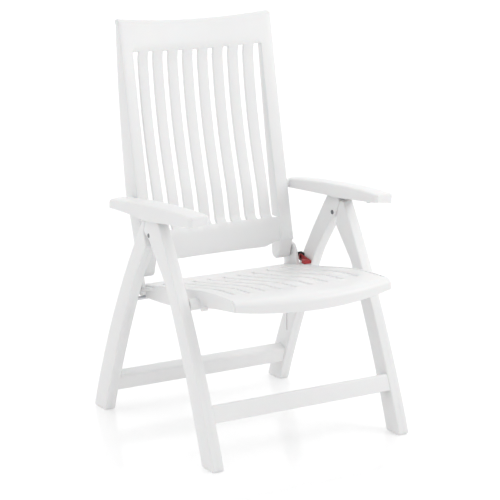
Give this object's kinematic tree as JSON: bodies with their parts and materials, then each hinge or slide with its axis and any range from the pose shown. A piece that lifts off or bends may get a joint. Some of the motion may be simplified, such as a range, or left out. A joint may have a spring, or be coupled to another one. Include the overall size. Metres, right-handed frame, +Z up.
{
  "type": "folding reclining garden armchair",
  "caption": "High-backed reclining garden armchair that folds flat, with slatted back, moulded seat, notched armrests and a safety latch.",
  "frame": {"origin": "on the floor, under the middle of the overall box of the upright chair", "axes": "+Z up, the sitter faces -Y, +X towards the side that is on the right in a view from the front"},
  "size_m": [0.612, 0.696, 1.076],
  "materials": {
    "white_plastic": "fine grained moulded polypropylene, satin",
    "glide_plastic": "soft matt grip pad",
    "hinge_pin": "drawn bar, satin",
    "latch_black": "moulded, matt",
    "latch_red": "moulded, semi-gloss"
  },
  "bodies": {
    "front_frame": {"front_leg_left": "white_plastic", "front_leg_right": "white_plastic", "front_rail": "white_plastic", "front_glide_left": "glide_plastic", "front_glide_right": "glide_plastic", "apex_pin_left": "hinge_pin", "apex_pin_right": "hinge_pin", "seat_pin_left": "hinge_pin", "seat_pin_right": "hinge_pin"},
    "rear_frame": {"rear_leg_left": "white_plastic", "rear_leg_right": "white_plastic", "rear_rail": "white_plastic", "rear_glide_left": "glide_plastic", "rear_glide_right": "glide_plastic", "rest_pin_left": "hinge_pin", "rest_pin_right": "hinge_pin", "latch_housing": "latch_black"},
    "seat": {"seat": "white_plastic", "back_pin_left": "hinge_pin", "back_pin_right": "hinge_pin"},
    "backrest": {"backrest": "white_plastic", "arm_pin_left": "hinge_pin", "arm_pin_right": "hinge_pin"},
    "armrest_left": {"armrest_left": "white_plastic", "arm_rack_left": "white_plastic"},
    "armrest_right": {"armrest_right": "white_plastic", "arm_rack_right": "white_plastic"},
    "latch": {"latch_lever": "latch_red"}
  },
  "joints": [
    {"name": "fold", "type": "hinge", "parent": "front_frame", "child": "seat", "pos_m": [0, -0.13, 0.389], "axis": [1, 0, 0], "range_deg": [0, 65]},
    {"name": "rear_leg_fold", "type": "hinge", "parent": "front_frame", "child": "rear_frame", "pos_m": [0, 0.014, 0.546], "axis": [-1, 0, 0], "range_deg": [0, 48]},
    {"name": "recline", "type": "hinge", "parent": "seat", "child": "backrest", "pos_m": [0, 0.192, 0.41], "axis": [-1, 0, 0], "range_deg": [0, 83]},
    {"name": "armrest_swing_left", "type": "hinge", "parent": "backrest", "child": "armrest_left", "pos_m": [0, 0.213, 0.597], "axis": [1, 0, 0], "range_deg": [0, 58.1]},
    {"name": "armrest_swing_right", "type": "hinge", "parent": "backrest", "child": "armrest_right", "pos_m": [0, 0.213, 0.597], "axis": [1, 0, 0], "range_deg": [0, 58.1]},
    {"name": "latch_press", "type": "hinge", "parent": "rear_frame", "child": "latch", "pos_m": [0.263, 0.164, 0.392], "axis": [-1, 0, 0], "range_deg": [0, 18], "stiffness_Nm_per_rad": 0.08}
  ],
  "couplings": [
    {"joint": "rear_leg_fold", "follows": "fold", "ratio": 0.73846},
    {"joint": "armrest_swing_left", "follows": "recline", "ratio": 0.7},
    {"joint": "armrest_swing_right", "follows": "recline", "ratio": 0.7}
  ]
}
